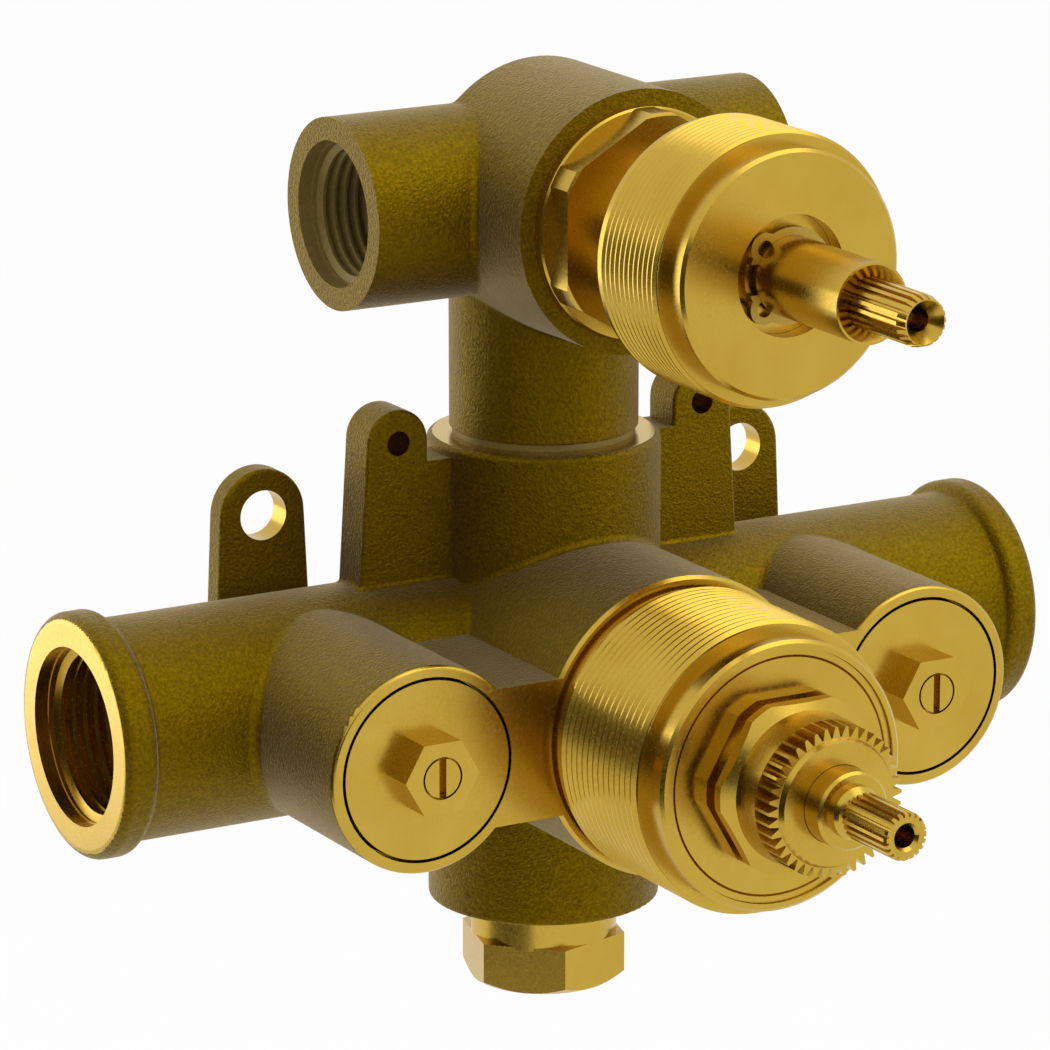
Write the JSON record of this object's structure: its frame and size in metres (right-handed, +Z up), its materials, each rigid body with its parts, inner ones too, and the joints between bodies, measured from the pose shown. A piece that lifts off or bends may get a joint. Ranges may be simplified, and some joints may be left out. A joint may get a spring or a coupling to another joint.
{
  "type": "concealed shower valve",
  "caption": "Brass concealed shower valve: thermostatic mixer body with side inlets, flush stops and wall lugs, and a splined diverter body above it.",
  "frame": {"origin": "midway between the two wall holes, on the back face of the wall lugs", "axes": "+X to the right seen from the front, +Y into the wall, +Z up"},
  "size_m": [0.1594, 0.1212, 0.1439],
  "materials": {
    "cast_brass": "cast, sandy",
    "machined_brass": "turned, satin",
    "rubber": "moulded",
    "spring_steel": "drawn",
    "plastic": "moulded",
    "element": "drawn copper",
    "ceramic": "lapped"
  },
  "bodies": {
    "valve_body": {"lower_body": "cast_brass", "upper_body": "cast_brass", "bottom_plug": "machined_brass", "trim_sleeve": "machined_brass", "thermo_nut": "machined_brass", "serrated_hub": "machined_brass", "diverter_bonnet": "machined_brass", "diverter_trim": "machined_brass", "diverter_gland": "machined_brass", "left_stop_cap": "machined_brass", "right_stop_cap": "machined_brass", "spigot_ring": "rubber", "plug_washer": "rubber", "rear_port_ring": "rubber", "middle_port_ring": "rubber", "front_port_ring": "rubber", "port_seal": "rubber", "left_stop_cap_ring": "rubber", "left_check_ring": "rubber", "right_stop_cap_ring": "rubber", "right_check_ring": "rubber", "shuttle_spring": "spring_steel", "left_check_spring": "spring_steel", "left_filter_screen": "spring_steel", "right_check_spring": "spring_steel", "right_filter_screen": "spring_steel", "thermo_body": "plastic", "diverter_cage": "plastic", "left_check_cage": "plastic", "right_check_cage": "plastic", "fixed_disc": "ceramic"},
    "thermo_spindle": {"thermo_stem": "machined_brass", "thermo_stem_ring": "rubber"},
    "thermo_shuttle": {"drive_nut": "machined_brass", "overload_spring": "spring_steel", "wax_element": "element", "shuttle": "plastic"},
    "diverter_spindle": {"diverter_stem": "machined_brass", "stem_circlip": "spring_steel", "diverter_stem_ring": "rubber", "diverter_inner_ring": "rubber", "moving_disc": "ceramic"},
    "left_screw": {"left_stop_screw": "machined_brass", "left_stop_screw_ring": "rubber"},
    "left_stop": {"left_stop_poppet": "machined_brass", "left_stop_washer": "rubber"},
    "left_check": {"left_check_poppet": "plastic"},
    "right_screw": {"right_stop_screw": "machined_brass", "right_stop_screw_ring": "rubber"},
    "right_stop": {"right_stop_poppet": "machined_brass", "right_stop_washer": "rubber"},
    "right_check": {"right_check_poppet": "plastic"}
  },
  "joints": [
    {"name": "thermo_turn", "type": "hinge", "parent": "valve_body", "child": "thermo_spindle", "pos_m": [0, -0.0754, -0.0261], "axis": [0, -1, 0], "range_deg": [-150, 150]},
    {"name": "shuttle_slide", "type": "slide", "parent": "valve_body", "child": "thermo_shuttle", "axis": [0, 1, 0], "range_m": [-0.00099, 0.00099], "deforming": ["shuttle_spring"]},
    {"name": "diverter_turn", "type": "hinge", "parent": "valve_body", "child": "diverter_spindle", "pos_m": [0, -0.0754, 0.0476], "axis": [0, -1, 0], "range_deg": [-90, 90]},
    {"name": "left_stop_turn", "type": "hinge", "parent": "valve_body", "child": "left_screw", "pos_m": [-0.04256, -0.0554, -0.0261], "axis": [0, 1, 0], "range_deg": [0, 720]},
    {"name": "left_stop_slide", "type": "slide", "parent": "valve_body", "child": "left_stop", "axis": [0, 1, 0], "range_m": [0, 0.0034]},
    {"name": "left_check_lift", "type": "slide", "parent": "valve_body", "child": "left_check", "axis": [1, 0, 0], "range_m": [0, 0.002], "stiffness_N_per_m": 200, "springref_m": -0.002, "deforming": ["left_check_spring"]},
    {"name": "right_stop_turn", "type": "hinge", "parent": "valve_body", "child": "right_screw", "pos_m": [0.04256, -0.0554, -0.0261], "axis": [0, 1, 0], "range_deg": [0, 720]},
    {"name": "right_stop_slide", "type": "slide", "parent": "valve_body", "child": "right_stop", "axis": [0, 1, 0], "range_m": [0, 0.0034]},
    {"name": "right_check_lift", "type": "slide", "parent": "valve_body", "child": "right_check", "axis": [-1, 0, 0], "range_m": [0, 0.002], "stiffness_N_per_m": 200, "springref_m": -0.002, "deforming": ["right_check_spring"]}
  ],
  "couplings": [
    {"joint": "thermo_turn", "follows": "shuttle_slide", "rad_per_m": 2631.6},
    {"joint": "left_stop_turn", "follows": "left_stop_slide", "rad_per_m": 3696},
    {"joint": "right_stop_turn", "follows": "right_stop_slide", "rad_per_m": 3696}
  ]
}
